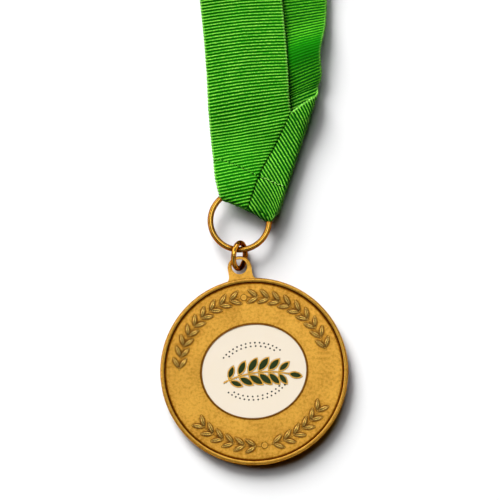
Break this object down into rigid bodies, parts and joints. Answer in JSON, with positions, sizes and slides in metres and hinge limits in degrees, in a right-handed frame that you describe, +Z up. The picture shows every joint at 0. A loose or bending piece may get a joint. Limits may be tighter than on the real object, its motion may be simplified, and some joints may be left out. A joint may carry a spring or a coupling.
{
  "type": "enamel medal on a neck ribbon",
  "caption": "Round metal medal with a raised rim, leaf garland and enamel oval, hung by a jump ring and wire ring from a grosgrain neck ribbon, lying flat.",
  "frame": {"origin": "centre of the round medal's flat back face, which lies on the table", "axes": "+Z up out of the medal's face, +Y from the medal towards the neck loop, +X to the right when the medal is read from above"},
  "size_m": [0.0813, 0.4179, 0.022],
  "materials": {
    "medal_metal": "satin antique gold plating",
    "white_enamel": "glossy cream-white soft enamel",
    "green_enamel": "glossy dark green enamel",
    "ring_metal": "polished antique gold plating",
    "ribbon_cloth": "ribbed grosgrain, slight sheen"
  },
  "bodies": {
    "root": {"medal_body": "medal_metal", "white_enamel": "white_enamel", "green_enamel": "green_enamel", "jump_ring": "ring_metal", "large_ring": "ring_metal", "neck_ribbon": "ribbon_cloth"}
  },
  "joints": []
}
